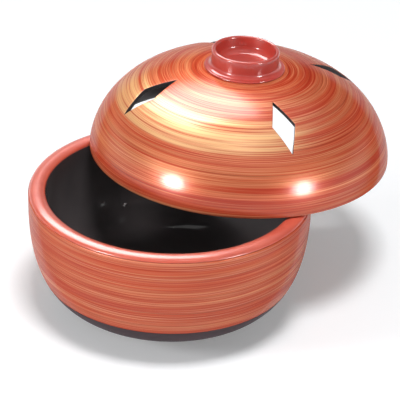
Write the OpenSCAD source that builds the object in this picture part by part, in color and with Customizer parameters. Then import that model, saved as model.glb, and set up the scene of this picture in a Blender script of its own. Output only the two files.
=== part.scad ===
// Soup bowl with a domed lid, in lacquered moulded resin, at real size in millimetres.
// The bowl is double-walled: an outer shell and a black base carry a rim ring, and the
// liner hangs from the ring with an air gap all round. It stands on its foot ring at the
// origin, +Z up. The lid lies across the rim, slid to the back right and tipped a little.

/* [Bowl] */
// Outer diameter of the bowl at its shoulder
bowl_d = 141; // [120:1:170]
// Height of the bowl from the table to the crest of the rim
bowl_h = 67; // [58:1:85]
// Squareness of the side, as the exponent on the radius
side_power = 5; // [3.5:0.1:7]
// Squareness of the belly, as the exponent on the height
belly_power = 2.5; // [2:0.1:4]
// Thickness of the outer shell
shell_wall = 2.6; // [2:0.1:3.2]

/* [Rim ring] */
// Width of the plain band round the mouth
rim_w = 8.5; // [7.6:0.1:12]
// Rise of the crowned band above the shoulder
rim_rise = 2.5; // [1.5:0.1:4]
// Depth of the tongue that reaches down between the two walls
tongue_h = 3; // [2:0.5:6]
// Width of the fine groove between the ring and the outer shell
seam_w = 0.4; // [0.3:0.1:0.8]

/* [Liner] */
// Thickness of the liner
liner_wall = 2.2; // [1.8:0.1:2.8]
// Air gap between the liner's bottom and the base
air_gap = 1.2; // [0.8:0.1:4]

/* [Base] */
// Height of the line where the black base meets the outer shell
base_line_h = 21; // [16:0.5:26]
// Thickness of the base
base_wall = 4; // [3.6:0.1:4.6]
// Height of the underside above the table, inside the foot ring
foot_h = 4; // [3:0.1:8]
// Outer diameter of the foot ring
foot_d = 72; // [60:1:84]
// Width of the foot ring
foot_w = 4.5; // [3.5:0.1:7]
// Radius of the rounded edges of the foot ring
foot_round = 1; // [0.5:0.1:1.5]
// Height of the lip that registers the base in the outer shell
lip_h = 2.5; // [1.5:0.5:4]

/* [Lid] */
// Outer diameter of the lid at its edge
lid_d = 152; // [148:1:170]
// Height of the dome from its edge to its crown
dome_h = 47.3; // [40:0.5:60]
// Squareness of the dome's side, as the exponent on the radius
dome_side_power = 2.8; // [2.2:0.1:4]
// Squareness of the dome's crown, as the exponent on the height
dome_crown_power = 1.8; // [1.6:0.1:3]
// Thickness of the lid
lid_wall = 2.2; // [1.8:0.1:3]
// Thickness of the lid at its edge
lid_edge_w = 5; // [3.6:0.1:6]
// Height over which the edge thins to the wall of the lid
lid_edge_h = 8; // [5:0.5:12]

/* [Windows] */
// Number of diamond cut-outs round the dome
window_count = 4; // [2:1:6]
// Length of a cut-out down the dome
window_l = 31.8; // [20:0.2:36]
// Width of a cut-out
window_w = 12.2; // [8:0.2:16]
// Height of the middle of a cut-out above the lid's edge
window_rise = 38; // [34:0.2:40]

/* [Knob] */
// Diameter of the knob at its lip
knob_d = 34.2; // [28:0.2:40]
// Height of the knob above its seat on the dome
knob_h = 10; // [7:0.1:14]
// Thickness of the knob's ring
knob_wall = 2; // [1.6:0.1:3]
// How far the foot of the knob stands out past its lip
knob_flare = 3.2; // [2.8:0.1:5]
// Height of the edge of the knob's foot
knob_edge_h = 1; // [0.8:0.1:1.6]
// Radius of the hollow between the foot and the ring
knob_fillet = 2.2; // [1.5:0.1:2.5]
// Thickness of the knob's floor
knob_floor = 1.8; // [1.2:0.1:3]
// Diameter of the spigot that holds the knob in the crown of the lid
spigot_d = 10; // [6:0.5:14]

/* [Lid at rest] */
// How far the lid is slid off the middle of the bowl
lid_slide = 56; // [40:1:62]
// Direction in which the lid is slid, anticlockwise from the right
lid_slide_angle = 53; // [0:1:359]
// Tip of the lid towards that direction
lid_tip = 2.75; // [0:0.25:4]
// Turn of the lid about its own axis, as the angle of one cut-out
lid_turn = 23; // [0:1:89]

/* [Hidden] */

// Facets round the axis, and steps along a curved outline
$fn = 128;
curve_steps = 26;
round_steps = 6;
// Gap between pieces that slide together before they are bonded
bond_gap = 0.1;
// Gap between the lid and the rim at rest
rest_gap = 0.3;
// How far the foot ring reaches up into the base, as a share of the base's thickness
foot_root_share = 0.5;
// How far the dome may fall away under the ends of a cut-out, as a share of its length
window_fall_share = 0.25;
// Overrun of a cut past the surface that it cuts
overrun = 2;

// Radii and heights that follow from the sizes above
bowl_r = bowl_d / 2;
shoulder_h = bowl_h - rim_rise;
seam_h = shoulder_h + seam_w;
mouth_r = bowl_r - rim_w;
belly_h = shoulder_h - foot_h;
shell_in_r = bowl_r - shell_wall;
shell_in_b = belly_h - shell_wall;
floor_h = foot_h + base_wall + air_gap + liner_wall;
ring_r = bowl_r - seam_w;
rim_crest_r = (mouth_r + ring_r) / 2;
tongue_in_r = mouth_r + liner_wall + bond_gap;
tongue_out_r = shell_in_r - bond_gap;
lid_r = lid_d / 2;
edge_round = lid_wall / 2;
knob_r = knob_d / 2;
knob_foot_r = knob_r + knob_flare;
bore_r = spigot_d / 2;

// Height at which the middle of the lid's edge comes to rest, with the inner end of the
// flat under the edge just clear of the crest of the rim where the two circles cross
edge_r = lid_r - edge_round;
edge_in_r = lid_r - lid_edge_w + edge_round;
edge_reach = (edge_in_r * edge_in_r + lid_slide * lid_slide - rim_crest_r * rim_crest_r)
    / (2 * lid_slide);
lid_rest_h = bowl_h + rest_gap - edge_reach * sin(lid_tip);

// Quarter of a rounded outline, from its widest point (t = 0) to its end on the axis
// (t = 90): half-width a and exponent p on the radius, height b and exponent q
function quarter(a, p, b, q, t) = [a * pow(cos(t), 2 / p), b * pow(sin(t), 2 / q)];
// Radius of that outline at height h, and its height at radius r
function quarter_r(a, p, b, q, h) = a * pow(1 - pow(h / b, q), 1 / p);
function quarter_h(a, p, b, q, r) = b * pow(1 - pow(r / a, p), 1 / q);
// Parameter t at height h or at radius r
function t_at_h(b, q, h) = asin(min(1, pow(h / b, q / 2)));
function t_at_r(a, p, r) = acos(pow(r / a, p / 2));

// Stretch of a bowl's wall with half-width a at the shoulder and depth b below it, between
// two heights above the table. It starts on the axis where low is the wall's lowest point.
function bowl_wall(a, b, low, high) = [for (i = [0:curve_steps])
    let (t_low = t_at_h(b, belly_power, shoulder_h - low),
         t_high = t_at_h(b, belly_power, shoulder_h - high),
         q = quarter(a, side_power, b, belly_power, t_low + (t_high - t_low) * i / curve_steps))
    [q[0], shoulder_h - q[1]]];
// Stretch of the dome's outline, from height low above the rounded edge up to radius end_r
function dome_wall(a, b, low, end_r) = [for (i = [0:curve_steps])
    let (t_low = t_at_h(b, dome_crown_power, low),
         t_end = t_at_r(a, dome_side_power, end_r),
         q = quarter(a, dome_side_power, b, dome_crown_power,
                     t_low + (t_end - t_low) * i / curve_steps))
    [q[0], edge_round + q[1]]];
// Points of an arc about the point c, from angle from to angle to
function arc(c, r, from, to) = [for (i = [0:round_steps])
    let (t = from + (to - from) * i / round_steps)
    [c[0] + r * cos(t), c[1] + r * sin(t)]];
function reversed(list) = [for (i = [len(list) - 1:-1:0]) list[i]];
function without_last(list) = [for (i = [0:len(list) - 2]) list[i]];

// Outline sizes of the dome, outside and inside
dome_b = dome_h - edge_round;
dome_in_a = lid_r - lid_wall;
dome_in_b = dome_b - lid_wall;
seat_h = edge_round + quarter_h(lid_r, dome_side_power, dome_b, dome_crown_power, knob_foot_r);
crown_in_h = edge_round
    + quarter_h(dome_in_a, dome_side_power, dome_in_b, dome_crown_power, bore_r);

// Middle of a cut-out on the dome, and how far the dome leans there
window_r = quarter_r(lid_r, dome_side_power, dome_b, dome_crown_power,
                     window_rise - edge_round);
window_slope = atan((dome_side_power * pow(window_r / lid_r, dome_side_power - 1) / lid_r)
    / (dome_crown_power * pow((window_rise - edge_round) / dome_b, dome_crown_power - 1)
       / dome_b));
window_depth = lid_wall + window_l * window_fall_share;

// Puts a piece of the lid, modelled about its own axis, where it lies on the bowl
module lid_at_rest() {
    rotate([0, 0, lid_slide_angle])
        translate([lid_slide, 0, lid_rest_h])
            rotate([0, lid_tip, 0])
                rotate([0, 0, lid_turn - lid_slide_angle])
                    children();
}

// Red wall of the bowl, from the base line up to the seam under the rim ring
module outer_shell() {
    color([0.83, 0.40, 0.26])
        rotate_extrude()
            polygon(concat(
                bowl_wall(bowl_r, belly_h, base_line_h, shoulder_h),
                [[ring_r, seam_h], [shell_in_r, seam_h]],
                reversed(bowl_wall(shell_in_r, shell_in_b, base_line_h, shoulder_h))));
}

// Plain crowned band that bridges the two walls, with a tongue down between them
module rim_ring() {
    crown_w = (ring_r - mouth_r) / 2;
    color([0.86, 0.36, 0.28])
        rotate_extrude()
            polygon(concat(
                [for (i = [0:curve_steps])
                    let (t = 180 * i / curve_steps)
                    [rim_crest_r + crown_w * cos(t), seam_h + (bowl_h - seam_h) * sin(t)]],
                [[tongue_in_r, seam_h],
                 [tongue_in_r, seam_h - tongue_h],
                 [tongue_out_r, seam_h - tongue_h],
                 [tongue_out_r, seam_h]]));
}

// Black inside of the bowl, which hangs from the rim ring
module liner() {
    outer_r = mouth_r + liner_wall;
    bottom_h = floor_h - liner_wall;
    color([0.13, 0.12, 0.12])
        rotate_extrude()
            polygon(concat(
                bowl_wall(mouth_r, shoulder_h - floor_h, floor_h, shoulder_h),
                [[mouth_r, seam_h], [outer_r, seam_h]],
                reversed(bowl_wall(outer_r, shoulder_h - bottom_h, bottom_h, shoulder_h))));
}

// Black bottom of the bowl with its foot ring
module base() {
    lip_top = base_line_h + lip_h;
    inside_h = foot_h + base_wall;
    foot_r = foot_d / 2;
    foot_in_r = foot_r - foot_w;
    foot_top = shoulder_h - quarter_h(bowl_r, side_power, belly_h, belly_power, foot_r)
        + base_wall * foot_root_share;
    color([0.17, 0.14, 0.15])
        rotate_extrude() {
            polygon(concat(
                bowl_wall(bowl_r, belly_h, foot_h, base_line_h),
                bowl_wall(shell_in_r - bond_gap, shell_in_b - bond_gap, base_line_h, lip_top),
                reversed(bowl_wall(bowl_r - base_wall, belly_h - base_wall, inside_h, lip_top))));
            polygon(concat(
                [[foot_r, foot_top], [foot_in_r, foot_top]],
                arc([foot_in_r + foot_round, foot_round], foot_round, 180, 270),
                arc([foot_r - foot_round, foot_round], foot_round, 270, 360)));
        }
}

// One diamond cut-out, as a prism square to the dome
module window_cut() {
    translate([window_r, 0, window_rise])
        rotate([0, window_slope, 0])
            translate([0, 0, -window_depth])
                linear_extrude(window_depth + overrun)
                    polygon([[-window_l / 2, 0], [0, -window_w / 2],
                             [window_l / 2, 0], [0, window_w / 2]]);
}

// Domed lid with a thickened edge, a flat seat for the knob and the diamond cut-outs
module lid_dome() {
    color([0.84, 0.42, 0.26])
        lid_at_rest()
            difference() {
                rotate_extrude()
                    polygon(concat(
                        dome_wall(lid_r, dome_b, 0, knob_foot_r),
                        [[bore_r, seat_h]],
                        reversed(dome_wall(dome_in_a, dome_in_b, lid_edge_h - edge_round, bore_r)),
                        arc([edge_in_r, edge_round], edge_round, 180, 270),
                        without_last(arc([edge_r, edge_round], edge_round, 270, 360))));
                for (i = [0:window_count - 1])
                    rotate([0, 0, 360 * i / window_count])
                        window_cut();
            }
}

// Ring-shaped knob with its floor, its rounded foot and the spigot in the lid's crown
module lid_knob() {
    spigot_r = bore_r - bond_gap;
    lip_r = knob_wall / 2;
    foot_top = seat_h + knob_edge_h;
    edge = knob_edge_h / 2;
    floor_top = seat_h + knob_floor;
    cup_r = knob_r - knob_wall;
    lip_h = seat_h + knob_h - lip_r;
    color([0.80, 0.26, 0.22])
        lid_at_rest()
            rotate_extrude()
                polygon(concat(
                    [[0, crown_in_h], [spigot_r, crown_in_h], [spigot_r, seat_h],
                     [knob_foot_r, seat_h]],
                    arc([knob_foot_r - edge, foot_top - edge], edge, 0, 90),
                    arc([knob_r + knob_fillet, foot_top + knob_fillet], knob_fillet, 270, 180),
                    arc([knob_r - lip_r, lip_h], lip_r, 0, 180),
                    arc([cup_r - knob_fillet, floor_top + knob_fillet], knob_fillet, 0, -90),
                    [[0, floor_top]]));
}

outer_shell();
rim_ring();
liner();
base();
lid_dome();
lid_knob();
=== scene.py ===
"""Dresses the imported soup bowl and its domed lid, and sets them in a plain studio.

The bowl is a red brushed shell on a black base, with a plain crowned rim ring and a black
liner. The lid is a thin brushed dome with diamond cut-outs and a plain ring-shaped knob.
Each piece is turned again at high resolution from the sizes of the real one, in the frame
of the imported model, and takes the place of its plain solid there. Lengths are in metres
and angles in degrees.
"""

import logging
import math
from collections.abc import Iterable, Sequence
from dataclasses import dataclass, field
from enum import Enum, IntEnum
from itertools import pairwise

import bpy
import numpy as np
from mathutils import Matrix, Vector


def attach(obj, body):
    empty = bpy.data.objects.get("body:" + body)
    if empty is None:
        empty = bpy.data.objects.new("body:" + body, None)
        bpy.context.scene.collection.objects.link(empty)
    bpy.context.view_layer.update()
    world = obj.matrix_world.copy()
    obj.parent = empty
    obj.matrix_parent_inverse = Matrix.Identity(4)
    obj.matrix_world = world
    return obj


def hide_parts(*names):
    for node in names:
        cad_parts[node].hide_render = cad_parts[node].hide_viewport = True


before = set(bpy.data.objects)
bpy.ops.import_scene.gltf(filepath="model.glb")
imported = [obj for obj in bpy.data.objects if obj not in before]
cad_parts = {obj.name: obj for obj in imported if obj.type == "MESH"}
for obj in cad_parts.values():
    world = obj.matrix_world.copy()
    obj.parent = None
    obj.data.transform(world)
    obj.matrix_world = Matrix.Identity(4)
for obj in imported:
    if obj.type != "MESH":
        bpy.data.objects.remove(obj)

Point = tuple[float, float]
Colour = tuple[float, float, float, float]
Socket = bpy.types.NodeSocket

MM = 0.001

# Columns of a turned mesh, and the distance between its rows where they show or hide
SEGMENTS = 256
STEP = 1.0 * MM
HIDDEN_STEP = 2.5 * MM

# Socket types of the shared groups, and the middle of what a noise texture puts out
VALUE = "NodeSocketFloat"
PLACE = "NodeSocketVector"
NOISE_MIDDLE = 0.5

WHITE: Colour = (1.0, 1.0, 1.0, 1.0)

log = logging.getLogger("soup_bowl")


class Body(Enum):
    """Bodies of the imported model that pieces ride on."""

    BOWL = "bowl"
    LID = "lid"


class Slot(Enum):
    """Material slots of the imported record."""

    BRUSHED_SHELL = "brushed_shell"
    PLAIN_RIM = "plain_rim"
    BLACK_LINER = "black_liner"
    BLACK_BASE = "black_base"
    BRUSHED_LID = "brushed_lid"
    PLAIN_KNOB = "plain_knob"


class Ray(Enum):
    """Kinds of ray that see the pale background."""

    CAMERA = "Is Camera Ray"
    GLOSSY = "Is Glossy Ray"
    TRANSMISSION = "Is Transmission Ray"


def srgb(red: int, green: int, blue: int) -> Colour:
    """Turns a display colour into the linear colour that shaders take.

    Args:
        red: Red, from 0 to 255.
        green: Green, from 0 to 255.
        blue: Blue, from 0 to 255.

    Returns:
        The linear colour with full alpha.
    """
    toe_end, toe_slope, offset, gamma = 0.04045, 12.92, 0.055, 2.4
    shares = [channel / 255 for channel in (red, green, blue)]
    linear = [
        s / toe_slope if s <= toe_end else ((s + offset) / (1 + offset)) ** gamma for s in shares
    ]
    return (linear[0], linear[1], linear[2], 1.0)


def evenly(points: Sequence[Point], step: float) -> list[Point]:
    """Walks along an outline and sets points on it at an even step.

    Args:
        points: Outline as radius and height.
        step: Wanted distance between neighbours.

    Returns:
        Points from the first to the last one, both kept.
    """
    line = np.array(points)
    along = np.concatenate([[0.0], np.cumsum(np.hypot(*np.diff(line, axis=0).T))])
    places = np.linspace(0, along[-1], max(1, round(along[-1] / step)) + 1)
    radii = np.interp(places, along, line[:, 0])
    heights = np.interp(places, along, line[:, 1])
    return [(float(r), float(h)) for r, h in zip(radii, heights)]


def arc(centre: Point, radius: float, start: float, end: float, steps: int = 6) -> list[Point]:
    """Sets points on an arc.

    Args:
        centre: Centre as radius and height.
        radius: Radius of the arc.
        start: First angle, anticlockwise from outward.
        end: Last angle.
        steps: Number of chords.

    Returns:
        Points from the first to the last angle.
    """
    angles = [math.radians(start + (end - start) * i / steps) for i in range(steps + 1)]
    return [(centre[0] + radius * math.cos(a), centre[1] + radius * math.sin(a)) for a in angles]


def turned(radius: float, column: float, height: float) -> Vector:
    """Returns the place on a turned ring at a column of the mesh."""
    angle = math.tau * column / SEGMENTS
    return Vector((radius * math.cos(angle), radius * math.sin(angle), height))


@dataclass(frozen=True)
class RoundedOutline:
    """Quarter outline where (r / radius) ** side + (depth / height) ** crown is 1.

    The depth is counted from the widest level towards the end on the axis.
    """

    radius: float
    side: float
    height: float
    crown: float

    def depth_at(self, r: float) -> float:
        """Returns the depth at radius r."""
        return self.height * max(0.0, 1 - (r / self.radius) ** self.side) ** (1 / self.crown)

    def radius_at(self, depth: float) -> float:
        """Returns the radius at a depth."""
        return self.radius * max(0.0, 1 - (depth / self.height) ** self.crown) ** (1 / self.side)

    def between(self, first: float, last: float, samples: int = 400) -> list[Point]:
        """Samples the outline between two radii.

        Args:
            first: Radius at which the stretch starts.
            last: Radius at which it ends.
            samples: Number of chords.

        Returns:
            Points as radius and depth, closer together where the side is steep.
        """
        turn_first, turn_last = (
            math.acos(min(1.0, (r / self.radius) ** (self.side / 2))) for r in (first, last)
        )
        turns = [turn_first + (turn_last - turn_first) * i / samples for i in range(samples + 1)]
        return [
            (
                self.radius * max(0.0, math.cos(t)) ** (2 / self.side),
                self.height * max(0.0, math.sin(t)) ** (2 / self.crown),
            )
            for t in turns
        ]


class PieceMesh:
    """Collects the corners and faces of one piece and makes its object."""

    SHARP_ANGLE = math.radians(38)
    POLE_RADIUS = 0.01 * MM

    def __init__(self) -> None:
        """Starts an empty mesh."""
        self.corners: list[Vector] = []
        self.faces: list[tuple[int, ...]] = []
        self.finishes: list[int] = []

    def corner(self, place: Vector) -> int:
        """Adds a corner and returns its number."""
        self.corners.append(place)
        return len(self.corners) - 1

    def face(self, corners: Sequence[int], finish: int) -> None:
        """Adds a face, without the repeated corners that a pole brings.

        Args:
            corners: Numbers of its corners, anticlockwise from outside.
            finish: Number of its material on the piece.
        """
        self.faces.append(tuple(dict.fromkeys(corners)))
        self.finishes.append(finish)

    def ring(self, radius: float, height: float) -> list[int]:
        """Adds one turned ring of corners.

        Args:
            radius: Radius of the ring, zero for a pole.
            height: Its height.

        Returns:
            The number of the corner on each of the SEGMENTS columns.
        """
        if radius < self.POLE_RADIUS:
            return [self.corner(Vector((0, 0, height)))] * SEGMENTS
        return [self.corner(turned(radius, column, height)) for column in range(SEGMENTS)]

    def band(self, first: Sequence[int], second: Sequence[int], finish: int) -> None:
        """Joins two closed loops of as many corners with faces.

        Args:
            first: Loop that comes first along the outline.
            second: Loop that comes next.
            finish: Number of the material.
        """
        count = len(first)
        for i in range(count):
            after = (i + 1) % count
            self.face((first[i], first[after], second[after], second[i]), finish)

    def piece(
        self, name: str, finishes: Sequence[bpy.types.Material], place: Matrix
    ) -> bpy.types.Object:
        """Makes the object.

        Args:
            name: Name of the piece.
            finishes: Its materials, in the order of their numbers.
            place: Where the piece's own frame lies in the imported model's frame.

        Returns:
            The linked object, with its place in its mesh.
        """
        mesh = bpy.data.meshes.new(name)
        mesh.from_pydata([tuple(place @ corner) for corner in self.corners], [], self.faces)
        for finish in finishes:
            mesh.materials.append(finish)
        mesh.polygons.foreach_set("material_index", self.finishes)
        mesh.polygons.foreach_set("use_smooth", [True] * len(self.faces))
        mesh.set_sharp_from_angle(angle=self.SHARP_ANGLE)
        mesh.validate()
        made = bpy.data.objects.new(name, mesh)
        bpy.context.scene.collection.objects.link(made)
        return made


def turned_piece(
    name: str, outline: Sequence[Point], finish: bpy.types.Material, place: Matrix
) -> bpy.types.Object:
    """Turns an outline about the axis and makes the piece.

    An outline that starts on the axis ends there too, and any other one is closed.

    Args:
        name: Name of the piece.
        outline: Radius and height of each point, anticlockwise round the material.
        finish: Its lacquer.
        place: Where the piece's own frame lies.

    Returns:
        The piece.
    """
    mesh = PieceMesh()
    rings = [mesh.ring(r, h) for r, h in outline]
    if outline[0][0] > PieceMesh.POLE_RADIUS:
        rings.append(rings[0])
    for first, second in pairwise(rings):
        mesh.band(first, second, 0)
    return mesh.piece(name, [finish], place)


class Wiring:
    """Adds nodes to one node tree and joins them."""

    def __init__(self, tree: bpy.types.NodeTree) -> None:
        """Keeps the tree.

        Args:
            tree: Node tree that the nodes go into.
        """
        self.tree = tree

    def node(self, kind: str, **settings: object) -> bpy.types.Node:
        """Adds a node.

        Args:
            kind: Type name of the node.
            **settings: Properties of the node.

        Returns:
            The new node.
        """
        made = self.tree.nodes.new(kind)
        for name, value in settings.items():
            setattr(made, name, value)
        return made

    def feed(self, socket: Socket, value: object) -> None:
        """Links an input to a socket, or sets its own value.

        Args:
            socket: The input.
            value: Socket that feeds it, or its value.
        """
        if isinstance(value, bpy.types.NodeSocket):
            self.tree.links.new(value, socket)
        else:
            socket.default_value = value

    def maths(self, operation: str, *values: object) -> Socket:
        """Works out one sum.

        Args:
            operation: Name of the operation.
            *values: Its inputs, as numbers or sockets.

        Returns:
            The result.
        """
        made = self.node("ShaderNodeMath", operation=operation)
        for socket, value in zip(made.inputs, values):
            self.feed(socket, value)
        return made.outputs[0]

    def weighted(self, values: Iterable[Socket], weights: Iterable[float]) -> Socket:
        """Adds up values, each times its weight.

        Args:
            values: The values.
            weights: Their weights, in the same order.

        Returns:
            The sum.
        """
        total: object = 0.0
        for value, weight in zip(values, weights):
            total = self.maths("MULTIPLY_ADD", value, weight, total)
        return total

    def ramp(
        self, value: Socket, low: object, high: object, start: object = 0.0, end: object = 1.0
    ) -> Socket:
        """Spreads a value softly between two limits.

        Args:
            value: Value to spread.
            low: Value that gives the start.
            high: Value that gives the end.
            start: Result at the low limit and below.
            end: Result at the high limit and above.

        Returns:
            The result.
        """
        made = self.node("ShaderNodeMapRange", interpolation_type="SMOOTHSTEP")
        names = ("Value", "From Min", "From Max", "To Min", "To Max")
        for name, fed in zip(names, (value, low, high, start, end)):
            self.feed(made.inputs[name], fed)
        return made.outputs["Result"]

    def mixed(self, factor: object, first: object, second: object) -> Socket:
        """Mixes two colours.

        Args:
            factor: Share of the second colour.
            first: First colour.
            second: Second colour.

        Returns:
            The mixed colour.
        """
        made = self.node("ShaderNodeMix", data_type="RGBA")
        sockets = {socket.identifier: socket for socket in made.inputs}
        self.feed(sockets["Factor_Float"], factor)
        self.feed(sockets["A_Color"], first)
        self.feed(sockets["B_Color"], second)
        return {socket.identifier: socket for socket in made.outputs}["Result_Color"]

    def noise(self, place: Socket, scale: object, detail: float, roughness: float) -> Socket:
        """Adds a noise texture.

        Args:
            place: Coordinates.
            scale: Scale of the noise.
            detail: Number of finer layers.
            roughness: How strong the finer layers are.

        Returns:
            The noise, about 0 to 1.
        """
        made = self.node("ShaderNodeTexNoise", noise_dimensions="3D")
        self.feed(made.inputs["Vector"], place)
        for name, value in (("Scale", scale), ("Detail", detail), ("Roughness", roughness)):
            self.feed(made.inputs[name], value)
        return made.outputs["Fac"]

    def bump(self, height: Socket, distance: float, under: Socket | None = None) -> Socket:
        """Turns a height into a normal.

        Args:
            height: Height, about 0 to 1.
            distance: How far a height of 1 stands out.
            under: Normal of a relief that lies under this one.

        Returns:
            The normal.
        """
        made = self.node("ShaderNodeBump")
        made.inputs["Distance"].default_value = distance
        self.feed(made.inputs["Height"], height)
        if under is not None:
            self.feed(made.inputs["Normal"], under)
        return made.outputs["Normal"]

    def group(self, tree: bpy.types.NodeTree, **inputs: object) -> bpy.types.Node:
        """Places a node group.

        Args:
            tree: The group.
            **inputs: Values of its inputs, with underscores for spaces in their names.

        Returns:
            The placed group.
        """
        made = self.node("ShaderNodeGroup", node_tree=tree)
        for name, value in inputs.items():
            self.feed(made.inputs[name.replace("_", " ")], value)
        return made


def new_group(
    name: str, inputs: dict[str, str], outputs: Iterable[str]
) -> tuple[Wiring, bpy.types.Node, bpy.types.Node]:
    """Starts a shader node group with named sockets.

    Args:
        name: Name of the group.
        inputs: Socket type by name of input.
        outputs: Names of its outputs, which are all values.

    Returns:
        The wiring of the group, its input node and its output node.
    """
    tree = bpy.data.node_groups.new(name, "ShaderNodeTree")
    for socket, kind in inputs.items():
        tree.interface.new_socket(name=socket, in_out="INPUT", socket_type=kind)
    for socket in outputs:
        tree.interface.new_socket(name=socket, in_out="OUTPUT", socket_type=VALUE)
    wiring = Wiring(tree)
    return wiring, wiring.node("NodeGroupInput"), wiring.node("NodeGroupOutput")


@dataclass(frozen=True)
class StreakLayer:
    """One layer of noise that is drawn out round the axis."""

    shift: float
    detail: float
    roughness: float


@dataclass(frozen=True)
class BrushStreaks:
    """Shared group for the streaks that a brush leaves on a turned surface.

    Places along the outline are told by the radius plus the fall times the height. The belt is a
    stretch of the outline where the gold is strongest. It is full towards one side of the piece and
    thins out on the other; that one-sided fullness is a painted highlight, gold strongest where the
    lamps' glow falls.
    """

    drift: StreakLayer = StreakLayer(shift=7.0, detail=1.0, roughness=0.5)
    bands: StreakLayer = StreakLayer(shift=0.0, detail=2.0, roughness=0.5)
    streaks: StreakLayer = StreakLayer(shift=31.0, detail=3.0, roughness=0.6)
    hairs: StreakLayer = StreakLayer(shift=67.0, detail=2.0, roughness=0.7)
    tones: StreakLayer = StreakLayer(shift=113.0, detail=3.0, roughness=0.6)
    lines: StreakLayer = StreakLayer(shift=151.0, detail=1.0, roughness=0.5)
    drift_rate: float = 20.0
    drift_reach: float = 1.6
    gold_weights: tuple[float, float, float] = (0.34, 0.36, 0.30)
    tone_weights: tuple[float, float] = (0.6, 0.4)
    relief_weights: tuple[float, float] = (0.5, 0.5)
    dark_full: float = 0.26
    dark_end: float = 0.36
    pale_start: float = 0.62
    pale_full: float = 0.72
    belt_thins: float = 0.15
    belt_fills: float = 0.7

    def build(self) -> bpy.types.NodeTree:
        """Builds the group.

        Returns:
            A group that puts out how much gold and how much light red lie at a place, the
            belt, fine dark and pale lines, and the relief of the brush.
        """
        values = (
            "Fall", "Band Rate", "Streak Rate", "Hair Rate", "Line Rate", "Band Reach",
            "Streak Reach", "Hair Reach", "Waver", "Start", "Belt Top", "Belt Foot",
            "Belt Blend", "Belt East", "Belt North", "Belt Thin",
        )
        wiring, given, result = new_group(
            "Brush streaks", {"Place": PLACE} | dict.fromkeys(values, VALUE),
            ("Gold", "Belt", "Tone", "Dark Line", "Pale Line", "Relief"),
        )
        split = wiring.node("ShaderNodeSeparateXYZ")
        wiring.feed(split.inputs[0], given.outputs["Place"])
        squares = [wiring.maths("POWER", split.outputs[axis], 2.0) for axis in "XY"]
        across = wiring.maths("SQRT", wiring.maths("ADD", *squares))
        east, north = (wiring.maths("DIVIDE", split.outputs[axis], across) for axis in "XY")
        walked = wiring.maths("MULTIPLY_ADD", split.outputs["Z"], given.outputs["Fall"], across)

        def drawn_out(layer: StreakLayer, rate: object, reach: object, along: Socket) -> Socket:
            """Adds one layer of noise, drawn out round the axis.

            Args:
                layer: Settings of the layer.
                rate: How fast it changes along the outline.
                reach: How fast it changes round the axis.
                along: Place along the outline.

            Returns:
                The noise, about 0 to 1.
            """
            place = wiring.node("ShaderNodeCombineXYZ")
            start = wiring.maths("ADD", given.outputs["Start"], layer.shift)
            wiring.feed(place.inputs["X"], wiring.maths("MULTIPLY_ADD", east, reach, start))
            wiring.feed(place.inputs["Y"], wiring.maths("MULTIPLY", north, reach))
            wiring.feed(place.inputs["Z"], wiring.maths("MULTIPLY", along, rate))
            return wiring.noise(place.outputs[0], 1.0, layer.detail, layer.roughness)

        drift = drawn_out(self.drift, self.drift_rate, self.drift_reach, walked)
        off = wiring.maths("SUBTRACT", drift, NOISE_MIDDLE)
        wavered = wiring.maths("MULTIPLY_ADD", off, given.outputs["Waver"], walked)
        rates = {kind: given.outputs[f"{kind} Rate"] for kind in ("Band", "Streak", "Hair", "Line")}
        reaches = {kind: given.outputs[f"{kind} Reach"] for kind in ("Band", "Streak", "Hair")}
        bands = drawn_out(self.bands, rates["Band"], reaches["Band"], wavered)
        streaks = drawn_out(self.streaks, rates["Streak"], reaches["Streak"], wavered)
        hairs = drawn_out(self.hairs, rates["Hair"], reaches["Hair"], wavered)
        tones = drawn_out(self.tones, rates["Streak"], reaches["Band"], wavered)
        lines = drawn_out(self.lines, rates["Line"], reaches["Streak"], wavered)

        top, foot, blend = (given.outputs[f"Belt {edge}"] for edge in ("Top", "Foot", "Blend"))
        begun = wiring.ramp(wavered, wiring.maths("SUBTRACT", top, blend), top)
        ended = wiring.ramp(wavered, foot, wiring.maths("ADD", foot, blend), 1.0, 0.0)
        # Painted highlight: the belt fades round the axis away from the lit side.
        northward = wiring.maths("MULTIPLY", north, given.outputs["Belt North"])
        towards = wiring.maths("MULTIPLY_ADD", east, given.outputs["Belt East"], northward)
        lit_side_fullness = wiring.ramp(
            towards, self.belt_thins, self.belt_fills, given.outputs["Belt Thin"], 1.0
        )
        made = {
            "Gold": wiring.weighted((bands, streaks, hairs), self.gold_weights),
            "Belt": wiring.maths("MULTIPLY", wiring.maths("MULTIPLY", begun, ended), lit_side_fullness),
            "Tone": wiring.weighted((tones, hairs), self.tone_weights),
            "Dark Line": wiring.ramp(lines, self.dark_full, self.dark_end, 1.0, 0.0),
            "Pale Line": wiring.ramp(lines, self.pale_start, self.pale_full),
            "Relief": wiring.weighted((streaks, hairs), self.relief_weights),
        }
        for name, value in made.items():
            wiring.feed(result.inputs[name], value)
        return wiring.tree


@dataclass(frozen=True)
class SkinLayer:
    """One layer of noise in a lacquer's skin, with its rate as a share of the waves' rate."""

    rate_share: float
    detail: float
    roughness: float


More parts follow.
